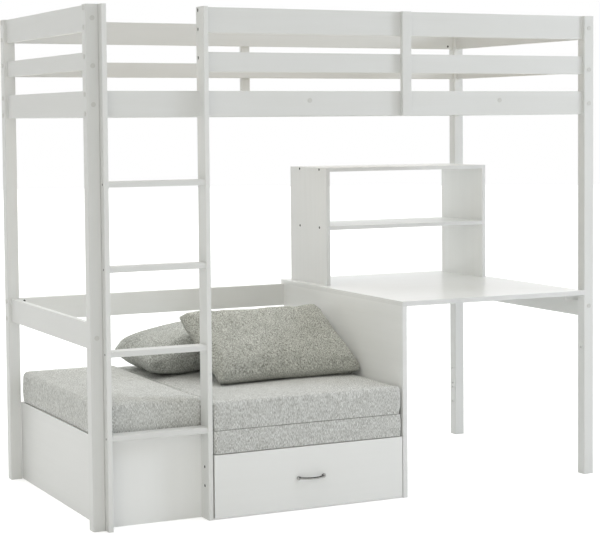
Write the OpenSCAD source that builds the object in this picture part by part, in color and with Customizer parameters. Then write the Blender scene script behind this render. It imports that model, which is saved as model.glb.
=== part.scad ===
// Cabin bed: a raised single bunk on four posts, with a front ladder, a pull-out
// guest seat on the left and a deep desk with a shelf unit on the right.
// Millimetres. X runs along the bed, the front faces -Y, and Z is up from the floor.

/* [Frame] */
// Length over the posts
bed_l = 2070; // [1980:10:2200]
// Depth over the posts
bed_w = 1036; // [980:4:1120]
// Height of the posts
bed_h = 1800; // [1740:10:1900]
// Side of a square post
post_s = 45; // [42:1:60]
// Rounding of a post's long edges
post_r = 4; // [2:0.5:8]

/* [Rails] */
// Thickness of every rail
rail_t = 20; // [18:1:26]
// Height of the wide rails
rail_h = 90; // [80:2:110]
// Height of the middle rails at the ends and the back
mid_h = 60; // [50:2:70]
// Height of the middle guard rail at the front
guard_mid_h = 70; // [60:2:76]
// Height of the posts above the underside of the side rails that carry the bunk
guard_rise = 382; // [330:2:400]
// Underside of the low rails round the seat and the desk
low_z = 624; // [600:2:660]
// Width of the guard uprights
upright_w = 38; // [30:1:50]
// Thickness of the guard uprights
upright_t = 20; // [16:1:24]
// Distance of the front upright from the left end
front_upright_x = 1213; // [1100:1:1400]
// Distance of the rear upright from the left end
rear_upright_x = 1018; // [900:1:1400]

/* [Ladder] */
// Thickness of a ladder stile
stile_t = 18; // [16:1:24]
// How far the stiles stand out in front of the posts
stile_out = 30; // [20:1:45]
// How far the stiles reach back behind the front of the posts
stile_in = 39; // [36:1:44]
// Clear width between the stiles
ladder_clear = 352; // [320:2:400]
// Top of the lowest rung
rung_z = 330; // [300:5:345]
// Rise from rung to rung
rung_rise = 290; // [270:2:300]
// Number of rungs
rungs = 4; // [4]
// Thickness of a rung
rung_t = 20; // [18:1:26]
// Depth of a rung
rung_d = 58; // [45:1:64]

/* [Bunk base] */
// Width of a slat
slat_w = 75; // [60:1:85]
// Thickness of a slat
slat_t = 14; // [12:1:16]
// Number of bunk slats
slats = 14; // [12:1:15]
// Height of the battens that carry the slats
batten_h = 28; // [20:1:32]
// Width of the battens that carry the slats
batten_w = 25; // [18:1:35]
// Height of the battens above the underside of the side rails
batten_lift = 42; // [20:1:44]

/* [Seat box] */
// Height of the fixed seat box
box_h = 305; // [280:5:320]
// Thickness of the board panels
panel_t = 18; // [15:1:22]
// Inset of the seat box's end panel from the inner face of the posts
box_inset = 3; // [0:1:10]
// Number of slats on the fixed seat box
box_slats = 9; // [7:1:10]
// Gap from the seat box's rear edge to the low rear rail
box_rear_gap = 1; // [0.5:0.5:6]

/* [Pull-out] */
// Width of the pull-out front
pull_w = 752; // [700:2:800]
// Running gap on each side of the pull-out
pull_gap = 4; // [3:0.5:10]
// How far the pull-out front stands in front of the posts
pull_out = 33; // [30:1:40]
// Height of the pull-out front
pull_h = 225; // [200:1:250]
// Clearance under the pull-out front
pull_lift = 5; // [4:1:12]
// Gap from the rear end of the pull-out to the fixed rail behind it
pull_rear_gap = 27.5; // [5:0.5:60]
// Height of the side boards of the pull-out
side_h = 178; // [140:2:190]
// Clearance under the side boards
side_lift = 12; // [8:1:16]
// Inset of the side boards from the ends of the front
side_inset = 6; // [4:1:12]
// Width of the cross beams
beam_w = 30; // [24:1:40]
// Width of a seat slat
seat_slat_w = 45; // [36:1:50]
// Thickness of a seat slat
seat_slat_t = 18; // [14:1:20]
// Number of moving slats, and of fixed slats between them
seat_slats = 6; // [5:1:7]
// Travel of the pull-out
pull_travel = 900; // [800:10:920]
// Radius of a wheel
wheel_r = 25; // [20:1:30]
// Width of a wheel
wheel_w = 16; // [12:1:20]
// Diameter of a wheel's axle
axle_d = 8; // [6:0.5:10]
// Distance of the wheels from the ends of the side boards
wheel_inset = 70; // [50:5:120]

/* [Handle] */
// Distance between the feet of the bow handle
bow_l = 100; // [80:2:128]
// Reach of the bow handle
bow_reach = 27; // [22:1:34]
// Thickness of the bow
bow_d = 8; // [6:0.5:10]

/* [Desk] */
// Gap from the right end of the desktop to the right posts
desk_end_gap = 19; // [2:1:60]
// Overhang of the desktop in front of the pull-out front
desk_over = 2; // [0:1:10]
// Gap from the rear of the desktop to the rear of the posts
desk_rear = 6; // [2:1:12]
// Width of the batten under the right end of the desktop
desk_batten_w = 58; // [50:1:70]
// Gap from each end of that batten to the posts
desk_batten_gap = 15; // [5:1:60]
// Distance of the shelf unit from the right end of the desktop
hutch_end = 28; // [0:1:150]
// Depth of the shelf unit
hutch_d = 340; // [250:5:400]
// Height of the shelf unit
hutch_h = 477; // [400:1:520]
// Board thickness of the shelf unit
hutch_t = 15; // [12:1:20]
// Distance of the shelf unit from the left end of the desktop
hutch_x = 34; // [20:1:45]
// Distance of the shelf unit from the rear of the desktop
hutch_rear = 32; // [10:1:60]
// Height of the middle shelf above the desktop, to its centre
shelf_z = 233; // [180:1:280]

/* [Cushions] */
// Height of the single cushion at its edge
cushion_h = 118; // [100:1:130]
// Height of the lower folded mattress layer
layer_low_h = 89; // [80:1:100]
// Height of the upper folded mattress layer at its edge
layer_up_h = 96; // [80:1:105]
// Extra height in the middle of a cushion's top
crown = 10; // [3:1:14]
// How far the sides draw in between the corners
draw_in = 5; // [2:1:8]
// Rounding of a cushion's edges
soft_r = 16; // [8:1:20]
// Width of a pillow
pillow_l = 604; // [560:2:620]
// Height of a pillow
pillow_w = 402; // [380:2:420]
// Thickness of the front pillow in its middle
pillow_front_t = 124; // [110:2:130]
// Thickness of the rear pillow in its middle
pillow_rear_t = 168; // [150:2:172]

/* [Fixings] */
// Diameter of a frame bolt
bolt_d = 6; // [5:0.5:8]
// Length of a bolt in the end of a rail
bolt_grip = 40; // [34:1:60]
// Diameter of a barrel nut
nut_d = 10; // [9:0.5:13]
// Diameter of a bolt cover cap
cap_d = 17; // [14:0.5:22]
// Thickness of a bolt cover cap
cap_t = 2; // [1:0.5:3]
// Diameter of a screw head
screw_head_d = 8; // [6:0.5:10]

/* [Hidden] */
$fn = 48;

// Finishes
paint = "whitesmoke";
board = "white";
fabric = "silver";
steel = "lightgray";
plastic = "dimgray";

// Running clearances and small fits
slide_gap = 0.3;     // between the sliding slats and what they pass over
soft_gap = 0.5;      // between a cushion and what it lies on
bolt_play = 0.5;     // round a bolt in its hole
nut_play = 0.15;     // round a bolt in its nut
axle_play = 0.08;    // round an axle in its wheel
head_d = 13;         // bolt head
head_h = 5;
head_sink = 7;       // depth of the counterbore for a bolt head
nut_l = 16;          // length of a barrel nut
nut_from_end = 24;   // nut centre from the end of its rail
pair_z = 33;         // bolts above and below the centre of a wide rail
end_bolt_z = -2;     // bolt of a wide end rail, from its centre
end_mid_bolt_z = -17;
mid_bolt_z = 14;     // bolt of a middle side rail, from its centre
screw_d = 4;
screw_l = 45;
screw_head_h = 3;

// Where the pieces lie, measured from the left end and the front of the posts
side_z = bed_h - guard_rise;
mid_post = post_s / 2;
rail_in = (post_s - rail_t) / 2;
rail_back = rail_in + rail_t;
rear_face = bed_w - rail_back;
top_z = bed_h - rail_h;
mid_c = (side_z + rail_h + top_z) / 2;
side_c = side_z + rail_h / 2;
top_c = top_z + rail_h / 2;
low_c = low_z + rail_h / 2;
low_top = low_z + rail_h;
stile_l_x = post_s;
stile_r_x = post_s + stile_t + ladder_clear;
stile_end = stile_r_x + stile_t;
pull_x = stile_end + pull_gap;
desk_x = pull_x + pull_w + pull_gap;
desk_y = -pull_out - desk_over;
desk_end_y = bed_w - desk_rear;
desk_l = bed_l - post_s - desk_end_gap - desk_x;
hutch_l = desk_l - hutch_x - hutch_end;
desk_top = low_top + panel_t;
box_back = rear_face - box_rear_gap;
front_most = pull_out + bow_reach + bow_d / 2;
rear_most = bed_w - rail_in + upright_t;

// The part's own frame: origin on the floor, under the middle of the whole
shift_x = -bed_l / 2;
shift_y = (front_most - rear_most) / 2;

// Heights inside the pull-out
side_top = side_lift + side_h;
beam_h = pull_lift + pull_h - seat_slat_t - side_top;
beam_top = side_top + beam_h;
deck_z = beam_top + seat_slat_t;
side_l_x = pull_x + side_inset;
side_r_x = pull_x + pull_w - side_inset - panel_t;
pull_y = -pull_out + panel_t;
pull_end = box_back - beam_w - pull_rear_gap;
slat_pitch = (side_r_x + panel_t - side_l_x - seat_slat_w) / (2 * seat_slats - 1);
wheel_ys = [pull_y + wheel_inset, pull_end - wheel_inset];
wheel_side_gap = 1.5;
wheel_l_x = side_l_x + panel_t + wheel_side_gap;
wheel_r_x = side_r_x - wheel_side_gap - wheel_w;
axle_seat = 12;      // length of an axle inside its side board
axle_head_d = 14;
axle_head_t = 3;

// Cushion places
cushion_x = post_s + box_inset + 1;
cushion_y = stile_in + 1;
cushion_l = pull_x - soft_gap - cushion_x;
cushion_w = rear_face - cushion_y - 3;
bed_y = -pull_out;
bed_len = rear_face - bed_y - 3;
bed_inset = 1;       // mattress from the ends of the pull-out front
layer_z = deck_z + slide_gap + soft_gap;
upper_z = layer_z + layer_low_h + soft_gap;
seat_top = upper_z + layer_up_h + crown;

module place() translate([shift_x, shift_y, 0]) children();

// A bar with all four long edges rounded, standing along Z
module rounded_bar(sx, sy, h, r) {
    linear_extrude(h) union() {
        translate([r, 0]) square([sx - 2 * r, sy]);
        translate([0, r]) square([sx, sy - 2 * r]);
        for (x = [r, sx - r], y = [r, sy - r]) translate([x, y]) circle(r);
    }
}

// A hole or shank along +X or +Y
module along_x(d, l) rotate([0, 90, 0]) cylinder(d = d, h = l);
module along_y(d, l) rotate([-90, 0, 0]) cylinder(d = d, h = l);

// ---------- bolts: places and directions ----------
end_levels = [low_c + end_bolt_z, side_c + end_bolt_z, mid_c + end_mid_bolt_z, top_c + end_bolt_z];
side_levels = [side_c - pair_z, side_c + pair_z];
top_levels = [top_c - pair_z, top_c + pair_z];
low_levels = [low_c - pair_z, low_c + pair_z];
mid_level = mid_c + mid_bolt_z;
rear_levels = concat(low_levels, side_levels, [mid_level], top_levels);
guard_levels = concat([mid_level], top_levels);
front_levels = concat(side_levels, guard_levels);

// Bolt with its nut, its head at the outer face, running along +X from the origin
module bolt_x(grip_from) {
    translate([head_sink - head_h, 0, 0]) along_x(head_d, head_h);
    translate([head_sink, 0, 0]) along_x(bolt_d, grip_from + bolt_grip - head_sink);
}

module barrel_nut(vertical, at) {
    translate([at, 0, 0]) difference() {
        rotate([vertical ? 0 : 90, 0, 0]) cylinder(d = nut_d, h = nut_l, center = true);
        translate([-nut_d, 0, 0]) along_x(bolt_d + 2 * nut_play, 2 * nut_d);
    }
}

// Holes in a piece: counterbore and clearance hole along +X from the outer face
module bolt_hole_x(depth) {
    translate([-1, 0, 0]) along_x(head_d + 2 * bolt_play, head_sink + 1);
    translate([-1, 0, 0]) along_x(bolt_d + 2 * bolt_play, depth + 2);
}

// Hole for a screw that enters at X = 0 and runs along +X, with room for its head
head_recess = 3.5;
module screw_hole(depth) {
    translate([-1, 0, 0]) along_x(screw_head_d + 0.4, head_recess + 1);
    translate([-1, 0, 0]) along_x(screw_d, depth + 1);
}

// Holes in the end of a rail that starts at x = 0, with the nut's cross hole
module rail_end_hole(vertical, cross_len) {
    translate([-1, 0, 0]) along_x(bolt_d + 2 * bolt_play, bolt_grip + 3);
    translate([nut_from_end, 0, 0])
        rotate([vertical ? 0 : 90, 0, 0])
            translate([0, 0, -nut_l / 2]) cylinder(d = nut_d, h = nut_l / 2 + cross_len + 1);
}

// ---------- posts ----------
// corner is [0 or 1 along the length, 0 or 1 along the depth]
module post(corner, cross_levels, spare_levels) {
    color(paint) place()
        translate([corner.x * (bed_l - post_s), corner.y * (bed_w - post_s), 0])
            difference() {
                rounded_bar(post_s, post_s, bed_h, post_r);
                for (z = end_levels) translate([mid_post, mid_post, z])
                    rotate([0, 0, corner.y == 0 ? 90 : -90])
                        translate([-mid_post, 0, 0]) bolt_hole_x(post_s);
                for (z = cross_levels) translate([mid_post, mid_post, z])
                    rotate([0, 0, corner.x == 0 ? 0 : 180])
                        translate([-mid_post, 0, 0]) bolt_hole_x(post_s);
                for (z = spare_levels) translate([mid_post, mid_post, z])
                    rotate([0, 0, corner.x == 0 ? 0 : 180])
                        translate([mid_post - spare_depth, 0, 0]) along_x(spare_d, spare_depth + 1);
            }
}
spare_d = 8;
spare_depth = 16;
spare_levels_rear = [148, 212, 230, 296];
spare_levels_front = [502];
spare_levels_stile = [124, 189];

module post_front_left() post([0, 0], front_levels, []);
module post_front_right() post([1, 0], front_levels, spare_levels_front);
module post_rear_left() post([0, 1], rear_levels, []);
module post_rear_right() post([1, 1], rear_levels, spare_levels_rear);

// ---------- end rails, between a front and a rear post ----------
module end_rail(right, z, h, bolt_z) {
    x = right ? bed_l - rail_back : rail_in;
    len = bed_w - 2 * post_s;
    color(paint) place() translate([x, post_s, z]) difference() {
        rounded_rail([rail_t, len, h]);
        translate([rail_t / 2, 0, h / 2 + bolt_z]) rotate([0, 0, 90])
            rail_end_hole(true, h / 2 - bolt_z);
        translate([rail_t / 2, len, h / 2 + bolt_z]) rotate([0, 0, -90])
            rail_end_hole(true, h / 2 - bolt_z);
    }
}

// A board with its four long edges eased; its long side is X or Y
ease = 2.5;
module rounded_rail(s) {
    if (s.x > s.y) {
        translate([0, s.y, 0]) rotate([90, 0, 90])
            mirror([1, 0, 0]) rounded_bar(s.y, s.z, s.x, ease);
    } else {
        translate([0, s.y, 0]) rotate([90, 0, 0]) rounded_bar(s.x, s.z, s.y, ease);
    }
}

module end_rail_left_top() end_rail(false, top_z, rail_h, end_bolt_z);
module end_rail_left_mid() end_rail(false, mid_c - mid_h / 2, mid_h, end_mid_bolt_z);
module end_rail_left_side() end_rail(false, side_z, rail_h, end_bolt_z);
module end_rail_left_low() end_rail(false, low_z, rail_h, end_bolt_z);
module end_rail_right_top() end_rail(true, top_z, rail_h, end_bolt_z);
module end_rail_right_mid() end_rail(true, mid_c - mid_h / 2, mid_h, end_mid_bolt_z);
module end_rail_right_side() end_rail(true, side_z, rail_h, end_bolt_z);
module end_rail_right_low() end_rail(true, low_z, rail_h, end_bolt_z);

// ---------- rails along the bed ----------
// rear picks the rear row; the nuts' cross holes open on the inner face
module long_rail(rear, from_x, z, h, bolts) {
    y = rear ? rear_face : rail_in;
    len = bed_l - post_s - from_x;
    color(paint) place() translate([from_x, y, z]) difference() {
        rounded_rail([len, rail_t, h]);
        for (b = bolts) {
            translate([0, rail_t / 2, h / 2 + b])
                rotate([rear ? 0 : 180, 0, 0]) rail_end_hole(false, rail_t / 2);
            translate([len, rail_t / 2, h / 2 + b])
                rotate([rear ? 0 : 180, 0, 180]) mirror([0, 1, 0]) rail_end_hole(false, rail_t / 2);
        }
    }
}
wide_bolts = [-pair_z, pair_z];

module side_rail_front() long_rail(false, post_s, side_z, rail_h, wide_bolts);
module guard_rail_front_top() long_rail(false, stile_end, top_z, rail_h, wide_bolts);
module guard_rail_front_mid()
    long_rail(false, stile_end, mid_c - guard_mid_h / 2, guard_mid_h, [mid_bolt_z]);
module side_rail_rear() long_rail(true, post_s, side_z, rail_h, wide_bolts);
module guard_rail_rear_top() long_rail(true, post_s, top_z, rail_h, wide_bolts);
module guard_rail_rear_mid() long_rail(true, post_s, mid_c - mid_h / 2, mid_h, [mid_bolt_z]);
module low_rail_rear() long_rail(true, post_s, low_z, rail_h, wide_bolts);

// Uprights that tie the guard rails together, on their outer faces
module upright(x, y) color(paint) place() translate([x, y, side_z])
    rounded_bar(upright_w, upright_t, bed_h - side_z, ease);
module guard_upright_front() upright(front_upright_x, rail_in - upright_t);
module guard_upright_rear() upright(rear_upright_x, bed_w - rail_in);

// ---------- ladder ----------
stile_d = stile_out + stile_in;
// Both stiles are notched over the front side rail; the right one carries the guard rails
module stile(x, guard_bolts, spare_levels, screws_from_right) {
    color(paint) place() translate([x, -stile_out, 0]) difference() {
        rounded_bar(stile_t, stile_d, bed_h, ease);
        translate([-1, stile_out + rail_in, side_z]) cube([stile_t + 2, stile_in, rail_h]);
        for (z = guard_bolts) translate([0, stile_out + mid_post, z])
            bolt_hole_x(stile_t);
        for (z = spare_levels) translate([-1, stile_out + mid_post, z])
            along_x(spare_d, stile_t / 2 + 1);
        for (i = [0 : rungs - 1], y = rung_screw_ys)
            translate([screws_from_right ? stile_t : 0, stile_out + y, rung_c(i)])
                mirror([screws_from_right ? 1 : 0, 0, 0]) screw_hole(stile_t + 1);
    }
}
rung_y = -stile_out + 4;
rung_screw_ys = [rung_y + rung_d / 4 - 3, rung_y + rung_d * 3 / 4 + 3];
function rung_c(i) = rung_z - rung_t / 2 + i * rung_rise;

module ladder_stile_left() stile(stile_l_x, [], [], false);
module ladder_stile_right() stile(stile_r_x, guard_levels, spare_levels_stile, true);

module rung(i) {
    color(paint) place()
        translate([stile_l_x + stile_t, rung_y, rung_c(i) - rung_t / 2]) difference() {
            rounded_rail([ladder_clear, rung_d, rung_t]);
            for (y = rung_screw_ys, x = [-1, ladder_clear - screw_l + stile_t])
                translate([x, y - rung_y, rung_t / 2]) along_x(screw_d, screw_l - stile_t + 1);
        }
}
module rung_1() rung(0);
module rung_2() rung(1);
module rung_3() rung(2);
module rung_4() rung(3);

// ---------- bunk base ----------
batten_z = side_z + batten_lift;
slat_z = batten_z + batten_h;
module bunk_battens() color(paint) place() {
    translate([post_s, rail_back, batten_z]) cube([bed_l - 2 * post_s, batten_w, batten_h]);
    translate([post_s, rear_face - batten_w, batten_z])
        cube([bed_l - 2 * post_s, batten_w, batten_h]);
}

module bunk_slats() color("burlywood") place() {
    first = post_s + slat_w / 2;
    step = (bed_l - 2 * first - slat_w) / (slats - 1);
    for (i = [0 : slats - 1])
        translate([first + i * step, rail_back + 1, slat_z])
            cube([slat_w, rear_face - rail_back - 2, slat_t]);
}

// ---------- fixed seat box ----------
module box_front_panel() color(board) place()
    translate([post_s, stile_in, 0]) cube([stile_end - post_s, panel_t, box_h]);
module box_end_panel() color(board) place()
    translate([post_s + box_inset, stile_in + panel_t, 0])
        cube([panel_t, box_back - stile_in - panel_t, box_h]);
module box_divider() color(board) place()
    translate([stile_r_x, stile_in + panel_t, 0])
        cube([panel_t, box_back - stile_in - panel_t, box_h]);

box_in_x = post_s + box_inset + panel_t;
box_in_l = stile_r_x - box_in_x;
box_in_y = stile_in + panel_t;
box_in_w = box_back - box_in_y;
box_slat_z = box_h - seat_slat_t;

module box_slat_deck() color("burlywood") place() {
    step = (box_in_w - slat_w) / (box_slats - 1);
    for (i = [0 : box_slats - 1])
        translate([box_in_x, box_in_y + i * step, box_slat_z])
            cube([box_in_l, slat_w, seat_slat_t]);
}

// Battens under the box slats and under the right end of the desktop
module support_battens() color(paint) place() {
    for (x = [box_in_x, stile_r_x - batten_w])
        translate([x, box_in_y, box_slat_z - batten_h]) cube([batten_w, box_in_w, batten_h]);
    translate([bed_l - rail_back - desk_batten_w, post_s + desk_batten_gap, low_top - batten_h])
        cube([desk_batten_w, bed_w - 2 * (post_s + desk_batten_gap), batten_h]);
}

// ---------- fixed part of the pull-out seat ----------
module seat_rear_rail() color(paint) place()
    translate([stile_end, box_back - beam_w, side_top])
        cube([desk_x - stile_end, beam_w, beam_h + slide_gap]);

fixed_from = pull_y + beam_w / 2;
module seat_fixed_slats() color("burlywood") place()
    for (i = [0 : seat_slats - 1])
        translate([side_l_x + (2 * i + 1) * slat_pitch, fixed_from, beam_top + slide_gap])
            cube([seat_slat_w, box_back - fixed_from, seat_slat_t]);

// ---------- pull-out ----------
module pullout_front() color(board) place() difference() {
    translate([pull_x, -pull_out, pull_lift]) cube([pull_w, panel_t, pull_h]);
    for (x = bow_xs) translate([x, -pull_out - 1, bow_z]) along_y(screw_d, panel_t + 2);
}

module pullout_sides() color(board) place() for (right = [0, 1]) difference() {
    translate([right ? side_r_x : side_l_x, pull_y, side_lift])
        cube([panel_t, pull_end - pull_y, side_h]);
    for (y = wheel_ys)
        translate([right ? side_r_x - 1 : side_l_x + panel_t - axle_seat, y, wheel_r])
            along_x(axle_d, axle_seat + 1);
}

// Cross beams on the side boards: the front one is a ledge behind the front
module pullout_beams() color(paint) place()
    for (y = [pull_y, pull_end - beam_w])
        translate([side_l_x, y, side_top])
            cube([side_r_x + panel_t - side_l_x, beam_w, beam_h]);

module pullout_slats() color("burlywood") place()
    for (i = [0 : seat_slats - 1])
        translate([side_l_x + 2 * i * slat_pitch, pull_y, beam_top])
            cube([seat_slat_w, pull_end - pull_y, seat_slat_t]);

// Each axle is fixed in its side board and ends in a head that keeps the wheel on
axle_l = axle_seat + 2 * wheel_side_gap + wheel_w;
module pullout_axles() color(steel) place() for (right = [0, 1], y = wheel_ys)
    translate([right ? side_r_x + axle_seat : side_l_x + panel_t - axle_seat, y, wheel_r])
        mirror([right, 0, 0]) {
            along_x(axle_d, axle_l);
            translate([axle_l, 0, 0]) along_x(axle_head_d, axle_head_t);
        }

// A wheel with a tread that is crowned by two steps and a plain bore
module wheel(x, y) color(plastic) place() translate([x, y, wheel_r]) rotate([0, 90, 0])
    rotate_extrude() {
        bore = axle_d / 2 + axle_play;
        polygon([
            [bore, 0], [bore + hub_t, 0], [bore + hub_t, web_in], [wheel_r - rim_t, web_in],
            [wheel_r - rim_t, 0], [wheel_r - rim_ease, 0], [wheel_r, rim_ease],
            [wheel_r, wheel_w - rim_ease], [wheel_r - rim_ease, wheel_w],
            [wheel_r - rim_t, wheel_w], [wheel_r - rim_t, wheel_w - web_in],
            [bore + hub_t, wheel_w - web_in], [bore + hub_t, wheel_w], [bore, wheel_w]
        ]);
    }
hub_t = 4;
rim_t = 5;
rim_ease = 1.5;
web_in = 4;
module wheel_front_left() wheel(wheel_l_x, wheel_ys[0]);
module wheel_front_right() wheel(wheel_r_x, wheel_ys[0]);
module wheel_rear_left() wheel(wheel_l_x, wheel_ys[1]);
module wheel_rear_right() wheel(wheel_r_x, wheel_ys[1]);

// Bow handle: an arc of a ring between two round feet on the pull-out front
bow_z = pull_lift + pull_h / 2;
bow_mid = pull_x + pull_w / 2;
bow_xs = [bow_mid - bow_l / 2, bow_mid + bow_l / 2];
bow_r = (pow(bow_l / 2, 2) + pow(bow_reach, 2)) / (2 * bow_reach);
bow_half = asin(bow_l / 2 / bow_r);
foot_d = 15;
foot_t = 4;
module bow_handle() color(steel) place() translate([bow_mid, -pull_out, bow_z]) {
    intersection() {
        translate([0, bow_r - bow_reach, 0]) rotate([0, 0, -90 - bow_half])
            rotate_extrude(angle = 2 * bow_half) translate([bow_r, 0]) circle(d = bow_d);
        translate([-bow_l, -2 * bow_reach, -bow_d]) cube([2 * bow_l, 2 * bow_reach, 2 * bow_d]);
    }
    for (x = [-bow_l / 2, bow_l / 2]) translate([x, -foot_t, 0]) along_y(foot_d, foot_t);
}

// ---------- desk ----------
module desktop() color(board) place()
    translate([desk_x, desk_y, low_top]) cube([desk_l, desk_end_y - desk_y, panel_t]);
module desk_side_panel() color(board) place()
    translate([desk_x, -pull_out, 0]) cube([panel_t, rear_face + pull_out, low_top]);

hutch_l_x = desk_x + hutch_x;
hutch_r_x = hutch_l_x + hutch_l - hutch_t;
hutch_y = desk_end_y - hutch_rear - hutch_d;
hutch_screw_ys = [hutch_y + 67, hutch_y + hutch_d - 90];
hutch_screw_zs = [desk_top + shelf_z, desk_top + hutch_h - hutch_t / 2];
module hutch_side(x, right) color(board) place() difference() {
    translate([x, hutch_y, desk_top]) cube([hutch_t, hutch_d, hutch_h]);
    for (y = hutch_screw_ys, z = hutch_screw_zs)
        translate([x + (right ? hutch_t : 0), y, z])
            mirror([right ? 1 : 0, 0, 0]) screw_hole(hutch_t + 1);
}
module hutch_side_left() hutch_side(hutch_l_x, false);
module hutch_side_right() hutch_side(hutch_r_x, true);
module shelf(z) color(board) place() difference() {
    translate([hutch_l_x + hutch_t, hutch_y, z])
        cube([hutch_l - 2 * hutch_t, hutch_d, hutch_t]);
    for (y = hutch_screw_ys, x = [hutch_l_x + hutch_t - 1, hutch_r_x - screw_l + hutch_t])
        translate([x, y, z + hutch_t / 2]) along_x(screw_d, screw_l - hutch_t + 1);
}
module hutch_top_shelf() shelf(desk_top + hutch_h - hutch_t);
module hutch_mid_shelf() shelf(desk_top + shelf_z - hutch_t / 2);

// ---------- soft forms ----------
// Outline of a cushion: a rectangle with rounded corners and sides that draw in
function corner_arc(cx, cy, r, from, n) =
    [for (i = [0 : n]) [cx + r * cos(from + 90 * i / n), cy + r * sin(from + 90 * i / n)]];
function side_points(a, b, sag, n) = [for (i = [1 : n - 1])
    let (t = i / n, w = sin(180 * t), d = b - a, u = [-d.y, d.x] / norm(d))
        a + d * t + u * sag * w];
function soft_outline(lx, ly, r, sag, arc_n, side_n) =
    let (x = lx / 2 - r, y = ly / 2 - r)
        concat(
            corner_arc(x, y, r, 0, arc_n), side_points([x, y + r], [-x, y + r], sag, side_n),
            corner_arc(-x, y, r, 90, arc_n), side_points([-x - r, y], [-x - r, -y], sag, side_n),
            corner_arc(-x, -y, r, 180, arc_n), side_points([-x, -y - r], [x, -y - r], sag, side_n),
            corner_arc(x, -y, r, 270, arc_n), side_points([x + r, -y], [x + r, y], sag, side_n)
        );

// Closes a stack of rings, each with the same number of points, by a point at each end
module ring_stack(rings, bottom, top) {
    n = len(rings[0]);
    m = len(rings);
    points = concat([bottom], [for (ring = rings) for (p = ring) p], [top]);
    faces = concat(
        [for (i = [0 : n - 1]) [0, 1 + i, 1 + (i + 1) % n]],
        [for (k = [0 : m - 2], i = [0 : n - 1], f = [0, 1])
            let (a = 1 + k * n + i, b = 1 + k * n + (i + 1) % n, c = a + n, d = b + n)
                f == 0 ? [a, c, b] : [b, c, d]],
        [for (i = [0 : n - 1])
            [m * n + 1, 1 + (m - 1) * n + (i + 1) % n, 1 + (m - 1) * n + i]]
    );
    polyhedron(points, faces);
}

// A box cushion with rounded edges; top_crown domes its top
arc_n = 4;
side_n = 8;
edge_steps = 3;
crown_steps = 4;
module box_cushion(lx, ly, h, top_crown) {
    outline = soft_outline(lx, ly, 2 * soft_r, draw_in, arc_n, side_n);
    function inset_ring(inset, z) =
        [for (p = outline) [p.x * (1 - 2 * inset / lx), p.y * (1 - 2 * inset / ly), z]];
    function shrunk_ring(s, z) = let (k = 1 - s)
        [for (p = outline) [p.x * k * (1 - 2 * soft_r / lx), p.y * k * (1 - 2 * soft_r / ly), z]];
    low = [for (i = [0 : edge_steps]) let (a = 90 * i / edge_steps)
        inset_ring(soft_r * (1 - sin(a)), soft_r * (1 - cos(a)))];
    high = [for (i = [0 : edge_steps]) let (a = 90 * i / edge_steps)
        inset_ring(soft_r * (1 - cos(a)), h - soft_r * (1 - sin(a)))];
    dome = [for (i = [1 : crown_steps - 1]) let (s = i / crown_steps)
        shrunk_ring(s, h + top_crown * (1 - pow(1 - s, 4)))];
    ring_stack(concat([shrunk_ring(0.5, 0)], low, high, dome), [0, 0, 0], [0, 0, h + top_crown]);
}

// A pillow: a flat seam all round, full in the middle, with drawn-in sides
pillow_steps = 6;
module pillow(lx, ly, t) {
    outline = soft_outline(lx, ly, 24, 14, arc_n, side_n);
    function sheet(s, sign) = let (k = 1 - s)
        [for (p = outline) [p.x * k, p.y * k, sign * t / 2 * pow(1 - pow(k, 2.4), 0.62)]];
    under = [for (i = [pillow_steps - 1 : -1 : 0]) sheet(i / pillow_steps, -1)];
    over = [for (i = [1 : pillow_steps - 1]) sheet(i / pillow_steps, 1)];
    ring_stack(concat(under, over), [0, 0, -t / 2], [0, 0, t / 2]);
}

module seat_cushion() color(fabric) place()
    translate([cushion_x + cushion_l / 2, cushion_y + cushion_w / 2, box_h + soft_gap])
        box_cushion(cushion_l, cushion_w, cushion_h, crown);
module mattress_lower() color(fabric) place()
    translate([pull_x + pull_w / 2, bed_y + bed_len / 2, layer_z])
        box_cushion(pull_w - 2 * bed_inset, bed_len, layer_low_h, 0);
module mattress_upper() color(fabric) place()
    translate([pull_x + pull_w / 2, bed_y + bed_len / 2, upper_z])
        box_cushion(pull_w - 2 * bed_inset, bed_len, layer_up_h, crown);

// The rear pillow lies on the mattress, its outer end a little lower;
// the front pillow leans back on it
rear_pillow_at = [desk_x - 454, rear_face - 238.5];
rear_pillow_lift = 92;
rear_pillow_tilt = [1, -6.5, 0];
front_pillow_at = [desk_x - 317, rear_face - 573.5];
front_pillow_lift = 110;
front_pillow_tilt = [30, 0.5, 4];
module pillow_rear() color(fabric) place()
    translate([rear_pillow_at.x, rear_pillow_at.y, seat_top + rear_pillow_lift])
        rotate(rear_pillow_tilt) pillow(pillow_l, pillow_w, pillow_rear_t);
module pillow_front() color(fabric) place()
    translate([front_pillow_at.x, front_pillow_at.y, seat_top + front_pillow_lift])
        rotate(front_pillow_tilt) pillow(pillow_l, pillow_w, pillow_front_t);

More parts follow.
